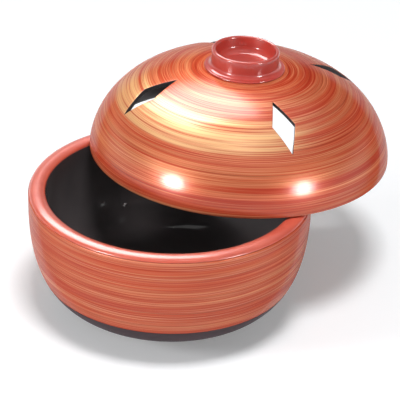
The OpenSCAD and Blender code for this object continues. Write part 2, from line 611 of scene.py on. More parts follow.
@dataclass(frozen=True)
class LacquerSkin:
    """Shared group for the skin of a sprayed and polished lacquer."""

    waves: SkinLayer = SkinLayer(rate_share=1.0, detail=1.0, roughness=0.4)
    specks: SkinLayer = SkinLayer(rate_share=9.0, detail=2.0, roughness=0.6)
    patches: SkinLayer = SkinLayer(rate_share=0.2, detail=3.0, roughness=0.55)
    speck_height: float = 0.12
    shade_low: float = 0.3
    shade_high: float = 0.7

    def build(self) -> bpy.types.NodeTree:
        """Builds the group.

        Returns:
            A group that puts out the gentle waves of the skin, its roughness and a slow
            change of shade.
        """
        wiring, given, result = new_group(
            "Lacquer skin",
            {"Place": PLACE, "Wave Rate": VALUE, "Roughness": VALUE, "Uneven": VALUE},
            ("Height", "Roughness", "Shade"),
        )
        waves, specks, patches = (
            wiring.noise(
                given.outputs["Place"],
                wiring.maths("MULTIPLY", given.outputs["Wave Rate"], layer.rate_share),
                layer.detail, layer.roughness,
            )
            for layer in (self.waves, self.specks, self.patches)
        )
        off = wiring.maths("SUBTRACT", patches, NOISE_MIDDLE)
        made = {
            "Height": wiring.maths("MULTIPLY_ADD", specks, self.speck_height, waves),
            "Roughness": wiring.maths(
                "MULTIPLY_ADD", off, given.outputs["Uneven"], given.outputs["Roughness"]
            ),
            "Shade": wiring.ramp(patches, self.shade_low, self.shade_high),
        }
        for name, value in made.items():
            wiring.feed(result.inputs[name], value)
        return wiring.tree


@dataclass(frozen=True)
class GroupShelf:
    """The node groups that the finishes share."""

    streaks: bpy.types.NodeTree
    skin: bpy.types.NodeTree


def new_material(name: str) -> tuple[bpy.types.Material, Wiring, bpy.types.Node]:
    """Starts a material.

    Args:
        name: Name of the material.

    Returns:
        The material, its wiring and its main shader, which reaches the output.
    """
    material = bpy.data.materials.new(name)
    material.use_nodes = True
    material.node_tree.nodes.clear()
    wiring = Wiring(material.node_tree)
    shader = wiring.node("ShaderNodeBsdfPrincipled")
    output = wiring.node("ShaderNodeOutputMaterial")
    wiring.feed(output.inputs["Surface"], shader.outputs["BSDF"])
    return material, wiring, shader


def own_place(wiring: Wiring, place: Matrix) -> Socket:
    """Gives coordinates in the frame of a piece that lies elsewhere in the model.

    Args:
        wiring: Wiring of the material.
        place: Where the piece's own frame lies.

    Returns:
        Coordinates about the piece's own axis.
    """
    back = place.inverted()
    coordinates = wiring.node("ShaderNodeTexCoord")
    mapping = wiring.node("ShaderNodeMapping", vector_type="POINT")
    wiring.feed(mapping.inputs["Vector"], coordinates.outputs["Object"])
    mapping.inputs["Location"].default_value = back.to_translation()
    mapping.inputs["Rotation"].default_value = back.to_euler("XYZ")
    return mapping.outputs["Vector"]


@dataclass(frozen=True, kw_only=True)
class Lacquer:
    """What all the lacquers have: a name, a skin and a clear coat."""

    name: str
    roughness: float
    specular: float = 0.0
    uneven: float = 0.08
    coat: float = 1.0
    coat_roughness: float = 0.06
    wave_rate: float = 260.0
    wave_height: float = 0.006 * MM

    def lay_skin(
        self, wiring: Wiring, shader: bpy.types.Node, shelf: GroupShelf, own: Socket
    ) -> tuple[Socket, Socket]:
        """Sets the skin and the gloss, but for the weight of the coat.

        Args:
            wiring: Wiring of the material.
            shader: Its main shader.
            shelf: The shared node groups.
            own: Coordinates about the piece's own axis.

        Returns:
            The slow change of shade, and the normal of the gentle waves.
        """
        skin = wiring.group(
            shelf.skin, Place=own, Wave_Rate=self.wave_rate, Roughness=self.roughness,
            Uneven=self.uneven,
        )
        wiring.feed(shader.inputs["Roughness"], skin.outputs["Roughness"])
        shader.inputs["Specular IOR Level"].default_value = self.specular
        shader.inputs["Coat Roughness"].default_value = self.coat_roughness
        return skin.outputs["Shade"], wiring.bump(skin.outputs["Height"], self.wave_height)


@dataclass(frozen=True, kw_only=True)
class PlainLacquer(Lacquer):
    """One plain colour of polished lacquer, a little deeper in patches."""

    colour: Colour
    deep_colour: Colour

    def material(self, shelf: GroupShelf, place: Matrix) -> bpy.types.Material:
        """Makes the material.

        Args:
            shelf: The shared node groups.
            place: Where the frame of the piece lies.

        Returns:
            The material.
        """
        material, wiring, shader = new_material(self.name)
        shade, waves = self.lay_skin(wiring, shader, shelf, own_place(wiring, place))
        wiring.feed(shader.inputs["Base Color"], wiring.mixed(shade, self.deep_colour, self.colour))
        shader.inputs["Coat Weight"].default_value = self.coat
        wiring.feed(shader.inputs["Normal"], waves)
        return material


@dataclass(frozen=True)
class Belt:
    """A belt round a brushed piece where the gold is strongest, told along its outline. Thin and
    angle make it fade round the axis, a painted highlight on the side where the glow falls.
    """

    top: float
    foot: float
    gold_share: float
    lift: float = 0.0
    # thin and angle: painted highlight, the gold fades away from the lit side
    thin: float = 1.0
    angle: float = 0.0
    blend: float = 7 * MM


@dataclass(frozen=True, kw_only=True)
class BrushedLacquer(Lacquer):
    """Red lacquer with gold streaks brushed round it, under a clear coat.

    The coat is full where the surface faces the eye, weak where it turns to the side, and
    stronger again along the very edge.
    """

    roughness: float = 0.40
    coat_roughness: float = 0.2
    red: Colour
    light_red: Colour
    gold: Colour
    pale_line: Colour
    dark_line: Colour = srgb(116, 42, 24)
    edge_tint: Colour = srgb(150, 66, 48)
    ground_metal: float
    gold_metal: float
    gold_share: float
    belt: Belt
    coat_side: float
    coat_edge: float = 0.5
    side_from: float = 0.33
    side_full: float = 0.58
    edge_from: float = 0.60
    edge_full: float = 0.70
    fall: float
    start: float
    band_rate: float
    streak_rate: float
    hair_rate: float
    line_rate: float
    band_reach: float = 0.4
    streak_reach: float = 0.6
    hair_reach: float = 1.1
    waver: float = 0.5 * MM
    tone_low: float = 0.38
    tone_high: float = 0.64
    gold_low: float = 0.44
    gold_high: float = 0.64
    dark_share: float = 0.4
    pale_share: float = 0.35
    relief_height: float = 0.02 * MM

    def place_streaks(self, wiring: Wiring, shelf: GroupShelf, own: Socket) -> bpy.types.Node:
        """Places the shared streaks.

        Args:
            wiring: Wiring of the material.
            shelf: The shared node groups.
            own: Coordinates about the piece's own axis.

        Returns:
            The placed group.
        """
        belt, angle = self.belt, math.radians(self.belt.angle)
        return wiring.group(
            shelf.streaks, Place=own, Fall=self.fall, Start=self.start, Waver=self.waver,
            Band_Rate=self.band_rate, Streak_Rate=self.streak_rate, Hair_Rate=self.hair_rate,
            Line_Rate=self.line_rate, Band_Reach=self.band_reach,
            Streak_Reach=self.streak_reach, Hair_Reach=self.hair_reach, Belt_Top=belt.top,
            Belt_Foot=belt.foot, Belt_Blend=belt.blend, Belt_East=math.cos(angle),
            Belt_North=math.sin(angle), Belt_Thin=belt.thin,
        )

    def gold_cover(self, wiring: Wiring, streaks: bpy.types.Node) -> Socket:
        """Works out how much of a place the gold covers.

        Args:
            wiring: Wiring of the material.
            streaks: The placed streaks.

        Returns:
            The share of gold, which is larger on the belt.
        """
        # The belt raises the gold; on the lid its fuller side is a painted highlight.
        belt = streaks.outputs["Belt"]
        more = self.belt.gold_share - self.gold_share
        share = wiring.maths("MULTIPLY_ADD", belt, more, self.gold_share)
        lifted = wiring.maths("MULTIPLY_ADD", belt, self.belt.lift, streaks.outputs["Gold"])
        return wiring.ramp(lifted, self.gold_low, self.gold_high, 0.0, share)

    def colour(self, wiring: Wiring, streaks: bpy.types.Node, gold: Socket) -> Socket:
        """Mixes the two reds, the gold and the fine lines.

        Args:
            wiring: Wiring of the material.
            streaks: The placed streaks.
            gold: Share of gold.

        Returns:
            The colour.
        """
        tone = wiring.ramp(streaks.outputs["Tone"], self.tone_low, self.tone_high)
        ground = wiring.mixed(tone, self.red, self.light_red)
        pale = wiring.maths("MULTIPLY", streaks.outputs["Pale Line"], self.pale_share)
        dark = wiring.maths("MULTIPLY", streaks.outputs["Dark Line"], self.dark_share)
        brushed = wiring.mixed(pale, wiring.mixed(gold, ground, self.gold), self.pale_line)
        return wiring.mixed(dark, brushed, self.dark_line)

    def coat_weight(self, wiring: Wiring) -> Socket:
        """Weighs the clear coat by how the surface turns away.

        Args:
            wiring: Wiring of the material.

        Returns:
            The weight of the coat.
        """
        facing = wiring.node("ShaderNodeLayerWeight").outputs["Facing"]
        front = wiring.ramp(facing, self.side_from, self.side_full, self.coat, self.coat_side)
        edge = wiring.ramp(facing, self.edge_from, self.edge_full, 0.0, self.coat_edge)
        return wiring.maths("MAXIMUM", front, edge)

    def material(self, shelf: GroupShelf, place: Matrix) -> bpy.types.Material:
        """Makes the material.

        Args:
            shelf: The shared node groups.
            place: Where the frame of the piece lies.

        Returns:
            The material.
        """
        material, wiring, shader = new_material(self.name)
        own = own_place(wiring, place)
        streaks = self.place_streaks(wiring, shelf, own)
        gold = self.gold_cover(wiring, streaks)
        more_metal = self.gold_metal - self.ground_metal
        metal = wiring.maths("MULTIPLY_ADD", gold, more_metal, self.ground_metal)
        _, waves = self.lay_skin(wiring, shader, shelf, own)
        wiring.feed(shader.inputs["Base Color"], self.colour(wiring, streaks, gold))
        wiring.feed(shader.inputs["Metallic"], metal)
        shader.inputs["Specular Tint"].default_value = self.edge_tint
        wiring.feed(shader.inputs["Coat Weight"], self.coat_weight(wiring))
        relief = wiring.bump(streaks.outputs["Relief"], self.relief_height, under=waves)
        wiring.feed(shader.inputs["Normal"], relief)
        return material


BRUSHED_SHELL = BrushedLacquer(
    name="brushed shell lacquer", red=srgb(180, 56, 34), light_red=srgb(204, 90, 54),
    gold=srgb(244, 200, 146), pale_line=srgb(246, 176, 140), ground_metal=0.25, gold_metal=0.6,
    gold_share=0.28, belt=Belt(top=100 * MM, foot=114 * MM, gold_share=0.42), coat=0.6,
    coat_side=0.3, fall=1.0, start=5.0, band_rate=260.0, streak_rate=1500.0, hair_rate=3600.0,
    line_rate=2000.0,
)
BRUSHED_LID = BrushedLacquer(
    name="brushed lid lacquer", red=srgb(180, 54, 34), light_red=srgb(204, 88, 54),
    gold=srgb(244, 200, 142), pale_line=srgb(246, 172, 130), ground_metal=0.14, gold_metal=0.7,
    gold_share=0.35,
    # The lid's belt, full at angle 212 and thin elsewhere, paints the gold highlight onto the lit
    # side.
    belt=Belt(top=12 * MM, foot=33 * MM, gold_share=0.85, lift=0.06, thin=0.1, angle=212),
    coat=0.95, coat_side=0.08, fall=-1.0, start=40.0, band_rate=170.0, streak_rate=1000.0,
    hair_rate=2800.0, line_rate=1600.0,
)
PLAIN_RED = PlainLacquer(
    name="plain rim lacquer", colour=srgb(220, 100, 78), deep_colour=srgb(206, 84, 64),
    roughness=0.4, specular=0.3, coat_roughness=0.2,
)
KNOB_RED = PlainLacquer(
    name="plain knob lacquer", colour=srgb(202, 74, 62), deep_colour=srgb(184, 58, 48),
    roughness=0.35, specular=0.3,
)
LINER_BLACK = PlainLacquer(
    name="black liner lacquer", colour=srgb(88, 82, 83), deep_colour=srgb(80, 74, 75),
    roughness=0.6, specular=0.5, coat_roughness=0.08,
)
BASE_BLACK = PlainLacquer(
    name="black base lacquer", colour=srgb(62, 44, 50), deep_colour=srgb(54, 36, 42),
    roughness=0.5, specular=0.2, coat=0.0,
)
LID_BLACK = PlainLacquer(
    name="black lid lining lacquer", colour=srgb(74, 68, 70), deep_colour=srgb(66, 60, 62),
    roughness=0.6, specular=0.3, coat_roughness=0.12,
)


def dress(piece: bpy.types.Object, body: Body, node: str) -> None:
    """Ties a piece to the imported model.

    Args:
        piece: The finished piece.
        body: Body that it rides on.
        node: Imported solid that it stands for.
    """
    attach(piece, body.value)
    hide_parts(node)
    log.info("%s: %d faces, rides on %s", piece.name, len(piece.data.polygons), body.value)


@dataclass
class Bowl:
    """The bowl: outer shell, rim ring, liner and base. Sizes are those of the real one."""

    diameter: float = 141 * MM
    height: float = 67 * MM
    side: float = 5
    belly: float = 2.5
    shell_wall: float = 2.6 * MM
    rim_width: float = 8.5 * MM
    rim_rise: float = 2.5 * MM
    tongue: float = 3 * MM
    seam: float = 0.4 * MM
    liner_wall: float = 2.2 * MM
    air_gap: float = 1.2 * MM
    base_line: float = 21 * MM
    base_wall: float = 4 * MM
    foot_height: float = 4 * MM
    foot_diameter: float = 72 * MM
    foot_width: float = 4.5 * MM
    foot_round: float = 1 * MM
    foot_fillet: float = 1.6 * MM
    lip: float = 2.5 * MM
    bond_gap: float = 0.1 * MM
    edge_ease: float = 0.15 * MM
    ease_steps: int = 4
    base_lean: float = 10
    seam_ease: float = 0.25 * MM
    seam_steps: int = 5
    seam_lean: float = 15
    crown_from: float = 6
    crown_to: float = 177
    crown_points: int = 60
    place: Matrix = field(default_factory=Matrix)

    @property
    def radius(self) -> float:
        """Radius at the shoulder."""
        return self.diameter / 2

    @property
    def shoulder(self) -> float:
        """Height of the shoulder."""
        return self.height - self.rim_rise

    @property
    def seam_height(self) -> float:
        """Height at which the rim ring sits on the walls."""
        return self.shoulder + self.seam

    @property
    def mouth(self) -> float:
        """Radius of the mouth."""
        return self.radius - self.rim_width

    @property
    def ring_radius(self) -> float:
        """Outer radius of the rim ring."""
        return self.radius - self.seam

    @property
    def rim_crest(self) -> float:
        """Radius of the crest of the rim."""
        return (self.mouth + self.ring_radius) / 2

    def wall(self, inset: float) -> RoundedOutline:
        """Returns the bowl's outline, set in from its outer face."""
        depth = self.shoulder - self.foot_height
        return RoundedOutline(self.radius - inset, self.side, depth - inset, self.belly)

    def wall_between(
        self, outline: RoundedOutline, low: float, high: float, step: float
    ) -> list[Point]:
        """Sets points on a wall between two heights above the table.

        Args:
            outline: Outline of the wall.
            low: Height at which the stretch starts.
            high: Height at which it ends.
            step: Distance between points.

        Returns:
            Points as radius and height.
        """
        first = outline.radius_at(min(outline.height, self.shoulder - low))
        last = outline.radius_at(max(0.0, self.shoulder - high))
        points = [(r, self.shoulder - d) for r, d in outline.between(first, last)]
        return evenly(points, step)

    def shell_outline(self) -> list[Point]:
        """Draws the brushed wall, from the base line up to the seam.

        Returns:
            Its outline as radius and height.
        """
        ease, seam = self.edge_ease, 2 * self.seam_ease
        outside = self.wall(0)
        inside = self.wall(self.shell_wall)
        foot_r = outside.radius_at(self.shoulder - self.base_line)
        foot = (foot_r - ease, self.base_line + ease)
        top = (self.radius - seam, self.shoulder - self.seam_ease)
        outline = arc(foot, ease, -90, -self.base_lean, self.ease_steps)
        outline += self.wall_between(outside, foot[1], top[1], STEP)[1:]
        outline += arc(top, seam, self.seam_lean, 90, self.seam_steps)
        outline += [(inside.radius, self.seam_height)]
        outline += self.wall_between(inside, self.base_line, self.shoulder, HIDDEN_STEP)[::-1]
        return outline

    def ring_outline(self) -> list[Point]:
        """Draws the crowned ring, with the tongue that hides between the two walls.

        Returns:
            Its outline as radius and height.
        """
        half = (self.ring_radius - self.mouth) / 2
        rise = self.height - self.seam_height
        crown = [
            (self.rim_crest + half * math.cos(t), self.seam_height + rise * math.sin(t))
            for t in np.radians(np.linspace(self.crown_from, self.crown_to, self.crown_points))
        ]
        tongue_in = self.mouth + self.liner_wall + self.bond_gap
        tongue_out = self.radius - self.shell_wall - self.bond_gap
        foot = self.seam_height - self.tongue
        outline = [(self.ring_radius - self.seam_ease, self.seam_height)]
        outline += crown
        outline += [(self.mouth + self.seam_ease / 2, self.seam_height)]
        outline += [(tongue_in, self.seam_height), (tongue_in, foot)]
        outline += [(tongue_out, foot), (tongue_out, self.seam_height)]
        return outline

    def liner_outline(self) -> list[Point]:
        """Draws the black inside of the bowl.

        Returns:
            Its outline as radius and height.
        """
        bottom = self.foot_height + self.base_wall + self.air_gap
        floor = bottom + self.liner_wall
        outer = self.mouth + self.liner_wall
        inside = RoundedOutline(self.mouth, self.side, self.shoulder - floor, self.belly)
        outside = RoundedOutline(outer, self.side, self.shoulder - bottom, self.belly)
        ease = self.edge_ease
        edge = (self.mouth + ease, self.seam_height - ease)
        outline = self.wall_between(outside, bottom, self.shoulder, HIDDEN_STEP)
        outline += [(outer, self.seam_height)]
        outline += arc(edge, ease, 90, 180, self.ease_steps)
        outline += self.wall_between(inside, floor, self.shoulder, STEP)[::-1]
        return outline

    def base_outline(self) -> list[Point]:
        """Draws the black bottom with its foot ring.

        Returns:
            Its outline as radius and height.
        """
        ease, fillet, foot_round = self.edge_ease, self.foot_fillet, self.foot_round
        outside = self.wall(0)
        inside = self.wall(self.base_wall)
        lip_out = self.wall(self.shell_wall + self.bond_gap)
        foot_r = self.foot_diameter / 2
        foot_in = foot_r - self.foot_width
        belly_r = foot_r + fillet
        belly_h = self.shoulder - outside.depth_at(belly_r)
        top = (outside.radius_at(self.shoulder - self.base_line) - ease, self.base_line - ease)
        lip_top = self.base_line + self.lip
        inner_floor = self.foot_height + self.base_wall
        outline = [(0.0, self.foot_height), (foot_in - fillet, self.foot_height)]
        outline += arc((foot_in - fillet, self.foot_height - fillet), fillet, 90, 0)[1:]
        outline += arc((foot_in + foot_round, foot_round), foot_round, 180, 270)
        outline += arc((foot_r - foot_round, foot_round), foot_round, 270, 360)
        outline += arc((belly_r, belly_h - fillet), fillet, 180, 90)
        outline += self.wall_between(outside, belly_h, top[1], STEP)[1:]
        outline += arc(top, ease, self.base_lean, 90, self.ease_steps)
        outline += self.wall_between(lip_out, self.base_line, lip_top, HIDDEN_STEP)
        outline += self.wall_between(inside, inner_floor, lip_top, HIDDEN_STEP)[::-1]
        return outline

    def build(self, shelf: GroupShelf) -> None:
        """Builds and dresses the four pieces.

        Args:
            shelf: The shared node groups.
        """
        for node, outline, lacquer, slot in (
            ("outer_shell", self.shell_outline(), BRUSHED_SHELL, Slot.BRUSHED_SHELL),
            ("rim_ring", self.ring_outline(), PLAIN_RED, Slot.PLAIN_RIM),
            ("liner", self.liner_outline(), LINER_BLACK, Slot.BLACK_LINER),
            ("base", self.base_outline(), BASE_BLACK, Slot.BLACK_BASE),
        ):
            finish = lacquer.material(shelf, self.place)
            piece = turned_piece(f"{node}_lacquered", outline, finish, self.place)
            dress(piece, Body.BOWL, node)


@dataclass(frozen=True)
class DiamondCutOut:
    """A diamond cut-out through a turned shell, cut square to the shell at its middle."""

    length: float
    width: float
    middle: Point
    slope: float
    corner_round: float = 0.12 * MM
    tip_steps: int = 4
    corner_steps: int = 2
    search_depth: float = 14 * MM
    search_rise: float = 1 * MM
    search_steps: int = 40

    def outline(self, grown: float, steps: int) -> list[Point]:
        """Draws the diamond with rounded corners.

        Args:
            grown: How far its sides move outward.
            steps: Number of chords from one corner to the next.

        Returns:
            Points as distance down the shell and distance round it, from the top corner
            through the one at positive distance round it.
        """
        lean = math.atan2(self.width, self.length)
        reach = self.length / 2 * math.sin(lean)
        long = self.length / 2 * (reach + grown) / reach
        wide = self.width / 2 * (reach + grown) / reach
        radius = self.corner_round + grown
        side = 90 + math.degrees(lean)
        tip = arc((radius / math.sin(lean) - long, 0), radius, 180, side, self.tip_steps)
        corner = arc((0, wide - radius / math.cos(lean)), radius, side, 90, self.corner_steps)
        straight_steps = steps - self.tip_steps - self.corner_steps
        straight = [
            (
                tip[-1][0] + (corner[0][0] - tip[-1][0]) * i / straight_steps,
                tip[-1][1] + (corner[0][1] - tip[-1][1]) * i / straight_steps,
            )
            for i in range(1, straight_steps)
        ]
        quarter = tip + straight + corner
        back = quarter[::-1]
        return (
            quarter[:-1]
            + [(-u, v) for u, v in back][:-1]
            + [(-u, -v) for u, v in quarter][:-1]
            + [(u, -v) for u, v in back][:-1]
        )

    @property
    def square_out(self) -> Vector:
        """Direction out of the shell at the middle of the cut-out."""
        return Vector((math.sin(self.slope), 0, math.cos(self.slope)))

    def on_shell(self, place: Point, shell: RoundedOutline, foot: float) -> Vector:
        """Follows the cut from its outline down to a face of the shell.

        Args:
            place: Point of the outline.
            shell: Outline of the face.
            foot: Height at which that outline starts.

        Returns:
            The place on the face, for a cut-out at angle zero.
        """
        down = Vector((math.cos(self.slope), 0, -math.sin(self.slope)))
        middle = Vector((self.middle[0], 0, self.middle[1]))
        start = middle + down * place[0] + Vector((0, place[1], 0))
        low, high = -self.search_depth, self.search_rise
        for _ in range(self.search_steps):
            tried = (low + high) / 2
            found = start + self.square_out * tried
            above = found.z - foot - shell.depth_at(math.hypot(found.x, found.y))
            low, high = (low, tried) if above > 0 else (tried, high)
        return start + self.square_out * (low + high) / 2


class DomeFinish(IntEnum):
    """Finishes of the dome, by their number on its mesh."""

    RED = 0
    LINING = 1


@dataclass
class DomeFace:
    """One face of the dome: its rows, from the edge to the crown, and its finish.

    The patches round the cut-outs lie between the low row and the high row, and the ease is
    how far the rounding of a cut-out's edge reaches over the face.
    """

    outline: RoundedOutline
    rows: list[Point]
    low: int
    high: int
    ease: float
    finish: DomeFinish
    rings: list[list[int]] = field(default_factory=list)


@dataclass
class Lid:
    """The lid: dome and knob. Sizes are those of the real one, about its own axis."""

    diameter: float = 152 * MM
    height: float = 47.3 * MM
    side: float = 2.8
    crown: float = 1.8
    wall: float = 2.2 * MM
    edge_width: float = 5 * MM
    edge_height: float = 8 * MM
    window_count: int = 4
    window_length: float = 31.8 * MM
    window_width: float = 12.2 * MM
    window_rise: float = 38 * MM
    window_ease: float = 0.35 * MM
    window_ease_inside: float = 0.25 * MM
    window_ease_steps: int = 5
    window_ease_red: int = 2
    window_wall_steps: int = 4
    patch_margin: float = 3.4 * MM
    patch_columns: int = 16
    patch_rows: int = 36
    patch_loops: int = 8
    patch_spread: float = 0.75
    knob_diameter: float = 34.2 * MM
    knob_height: float = 10 * MM
    knob_wall: float = 2 * MM
    knob_flare: float = 3.2 * MM
    knob_edge: float = 1 * MM
    knob_edge_from: float = -60
    knob_edge_steps: int = 8
    knob_fillet: float = 2.2 * MM
    knob_fillet_steps: int = 12
    knob_round_steps: int = 14
    knob_floor: float = 1.8 * MM
    cup_draft: float = 10
    cup_round: float = 4.5 * MM
    spigot_diameter: float = 10 * MM
    bond_gap: float = 0.1 * MM
    slide: float = 56 * MM
    slide_angle: float = 53
    tip: float = 2.75
    turn: float = 23
    rest_gap: float = 0.3 * MM

    @property
    def radius(self) -> float:
        """Radius at the edge."""
        return self.diameter / 2

    @property
    def edge(self) -> float:
        """Radius of the two rounded corners of the edge."""
        return self.wall / 2

    @property
    def edge_inside(self) -> float:
        """Radius at which the flat under the edge ends on the inside."""
        return self.radius - self.edge_width + self.edge

    @property
    def outside(self) -> RoundedOutline:
        """Outline of the outer face, from the top of the rounded edge."""
        return RoundedOutline(self.radius, self.side, self.height - self.edge, self.crown)

    @property
    def inside(self) -> RoundedOutline:
        """Outline of the inner face, from the top of the rounded edge."""
        depth = self.height - self.edge - self.wall
        return RoundedOutline(self.radius - self.wall, self.side, depth, self.crown)

    @property
    def bore(self) -> float:
        """Radius of the bore for the knob's spigot."""
        return self.spigot_diameter / 2

    @property
    def knob_foot(self) -> float:
        """Radius of the foot of the knob."""
        return self.knob_diameter / 2 + self.knob_flare

    @property
    def seat(self) -> float:
        """Height of the seat of the knob."""
        return self.edge + self.outside.depth_at(self.knob_foot)

    @property
    def window_columns(self) -> list[int]:
        """Columns of the middles of the cut-outs."""
        return list(range(0, SEGMENTS, SEGMENTS // self.window_count))

    @property
    def window(self) -> DiamondCutOut:
        """Works out the lean of the dome at the middle of the cut-out.

        Returns:
            The cut-out.
        """
        face = self.outside
        depth = self.window_rise - self.edge
        radius = face.radius_at(depth)
        fall = self.side * (radius / face.radius) ** (self.side - 1) / face.radius
        rise = self.crown * (depth / face.height) ** (self.crown - 1) / face.height
        middle = (radius, self.window_rise)
        return DiamondCutOut(self.window_length, self.window_width, middle, math.atan(fall / rise))

    def rest_place(self, bowl: Bowl) -> Matrix:
        """Works out where the lid lies on the bowl.

        Args:
            bowl: The bowl that it lies on.

        Returns:
            Place of the lid's own frame.
        """
        reach = (self.edge_inside**2 + self.slide**2 - bowl.rim_crest**2) / (2 * self.slide)
        rest_h = bowl.height + self.rest_gap - reach * math.sin(math.radians(self.tip))
        return (
            Matrix.Rotation(math.radians(self.slide_angle), 4, "Z")
            @ Matrix.Translation((self.slide, 0, rest_h))
            @ Matrix.Rotation(math.radians(self.tip), 4, "Y")
            @ Matrix.Rotation(math.radians(self.turn - self.slide_angle), 4, "Z")
        )

    def window_edge(self, outline: RoundedOutline, grown: float) -> list[Vector]:
        """Draws the cut-out at angle zero on a face of the dome.

        Args:
            outline: Outline of the face.
            grown: How far outside the cut-out the line lies.

        Returns:
            Places on the face, as many as a patch's edge has corners.
        """
        window = self.window
        steps = self.patch_columns // 2 + self.patch_rows // 2
        return [window.on_shell(p, outline, self.edge) for p in window.outline(grown, steps)]

    def dome_face(
        self, outline: RoundedOutline, start: float, end: float, ease: float, finish: DomeFinish
    ) -> DomeFace:
        """Sets out the rows of one face of the dome.

        Args:
            outline: Outline of the face.
            start: Radius of the first row.
            end: Radius of the last row.
            ease: How far the rounding of a cut-out's edge reaches over it.
            finish: Its finish.

        Returns:
            The face, with patch_rows even rows across the patches.
        """
        radii = [math.hypot(place.x, place.y) for place in self.window_edge(outline, 0)]
        bottom, top = max(radii) + self.patch_margin, min(radii) - self.patch_margin
        patch_line = outline.between(bottom, top)
        length = sum(math.dist(a, b) for a, b in pairwise(patch_line))
        below = evenly(outline.between(start, bottom), STEP)
        patch = evenly(patch_line, length / self.patch_rows)
        above = evenly(outline.between(top, end), STEP)
        rows = [(r, self.edge + depth) for r, depth in below[:-1] + patch + above[1:]]
        low = len(below) - 1
        return DomeFace(outline, rows, low, low + len(patch) - 1, ease, finish)

    def patch_walk(self, face: DomeFace) -> list[tuple[int, int]]:
        """Walks round the edge of the patch about the cut-out at angle zero.

        Args:
            face: Face of the dome.

        Returns:
            Column and row of each corner, from the middle of the top towards higher
            columns, then down, back and up.
        """
        half = self.patch_columns // 2
        walk = [(column, face.high) for column in range(half)]
        walk += [(half, row) for row in range(face.high, face.low, -1)]
        walk += [(column, face.low) for column in range(half, -half, -1)]
        walk += [(-half, row) for row in range(face.low, face.high)]
        walk += [(column, face.high) for column in range(-half, 0)]
        return walk

    def closing_loops(self, face: DomeFace) -> list[list[Vector]]:
        """Sets out the loops between a patch's edge and the rounding of its cut-out.

        Args:
            face: Face of the dome.

        Returns:
            Loops about the cut-out at angle zero, from the one inside the patch's edge to
            the start of the rounding.
        """
        walk = self.patch_walk(face)
        goals = self.window_edge(face.outline, face.ease)
        loops = []
        for loop in range(1, self.patch_loops + 1):
            share = (loop / self.patch_loops) ** self.patch_spread
            line = []
            for (column, row), goal in zip(walk, goals):
                goal_column = math.atan2(goal.y, goal.x) * SEGMENTS / math.tau
                radius = face.rows[row][0] * (1 - share) + math.hypot(goal.x, goal.y) * share
                height = self.edge + face.outline.depth_at(radius)
                line.append(turned(radius, column * (1 - share) + goal_column * share, height))
            loops.append(line)
        return loops

    def rounding(
        self, start: Sequence[Vector], edge: Sequence[Vector], into: Vector
    ) -> list[list[Vector]]:
        """Rounds the edge of a cut-out, from a face of the dome into the wall of the cut.

        Args:
            start: Loop on the face where the rounding starts.
            edge: Sharp edge that it rounds.
            into: Step from that edge to the end of the rounding.

        Returns:
            The loops after the first one.
        """
        shares = [step / self.window_ease_steps for step in range(1, self.window_ease_steps + 1)]
        return [
            [
                a * (1 - t) ** 2 + e * (2 * t * (1 - t)) + (e + into) * t**2
                for a, e in zip(start, edge)
            ]
            for t in shares
        ]

    def join_face(self, mesh: PieceMesh, face: DomeFace) -> None:
        """Joins the rings of one face, but for the patches about the cut-outs.

        Args:
            mesh: Mesh of the dome.
            face: The face.
        """
        half = self.patch_columns // 2
        patched = {
            (middle + column) % SEGMENTS
            for middle in self.window_columns for column in range(-half, half)
        }
        for row, (first, second) in enumerate(pairwise(face.rings)):
            for column in range(SEGMENTS):
                if face.low <= row < face.high and column in patched:
                    continue
                after = (column + 1) % SEGMENTS
                corners = (first[column], first[after], second[after], second[column])
                mesh.face(corners if face.finish == DomeFinish.RED else corners[::-1], face.finish)

    def line_windows(self, mesh: PieceMesh, outer: DomeFace, inner: DomeFace) -> None:
        """Joins the two faces through the cut-outs, with rounded edges.

        Args:
            mesh: Mesh of the dome.
            outer: Outer face.
            inner: Inner face.
        """
        outer_loops, inner_loops = self.closing_loops(outer), self.closing_loops(inner)
        out = self.window.square_out
        outer_edge = self.window_edge(outer.outline, 0)
        inner_edge = self.window_edge(inner.outline, 0)
        round_out = self.rounding(outer_loops[-1], outer_edge, out * -outer.ease)
        round_in = self.rounding(inner_loops[-1], inner_edge, out * inner.ease)
        wall = [
            [a.lerp(b, step / self.window_wall_steps) for a, b in zip(round_out[-1], round_in[-1])]
            for step in range(1, self.window_wall_steps)
        ]
        loops = outer_loops + round_out + wall + round_in[::-1] + inner_loops[::-1]
        red_bands = len(outer_loops) + self.window_ease_red + 1
        for middle in self.window_columns:
            spin = Matrix.Rotation(math.tau * middle / SEGMENTS, 4, "Z")
            outer_frame, inner_frame = (
                [face.rings[row][(middle + col) % SEGMENTS] for col, row in self.patch_walk(face)]
                for face in (outer, inner)
            )
            chain = [outer_frame]
            chain += [[mesh.corner(spin @ place) for place in loop] for loop in loops]
            chain += [inner_frame]
            for number, (first, second) in enumerate(pairwise(chain)):
                finish = DomeFinish.RED if number < red_bands else DomeFinish.LINING
                mesh.band(second, first, finish)

    def dome(
        self, outer_finish: bpy.types.Material, lining: bpy.types.Material, place: Matrix
    ) -> bpy.types.Object:
        """Builds the dome with its cut-outs.

        Args:
            outer_finish: Finish of the outside.
            lining: Finish of the inside and of the walls of the cut-outs.
            place: Where the lid lies.

        Returns:
            The dome.
        """
        edge = self.edge
        lining_start = self.inside.radius_at(self.edge_height - edge)
        outer = self.dome_face(
            self.outside, self.radius, self.knob_foot, self.window_ease, DomeFinish.RED
        )
        inner = self.dome_face(
            self.inside, lining_start, self.bore, self.window_ease_inside, DomeFinish.LINING
        )
        inner_corner = arc((self.edge_inside, edge), edge, 180, 270)
        outer_corner = arc((self.radius - edge, edge), edge, 270, 360)
        thinning = evenly([inner.rows[0], inner_corner[0]], STEP)[1:-1]
        flat = evenly([inner_corner[-1], outer_corner[0]], STEP)[1:-1]
        under_rows = thinning + inner_corner + flat + outer_corner[:-1]
        seat_rows = evenly([(self.knob_foot, self.seat), (self.bore, self.seat)], HIDDEN_STEP)[1:]

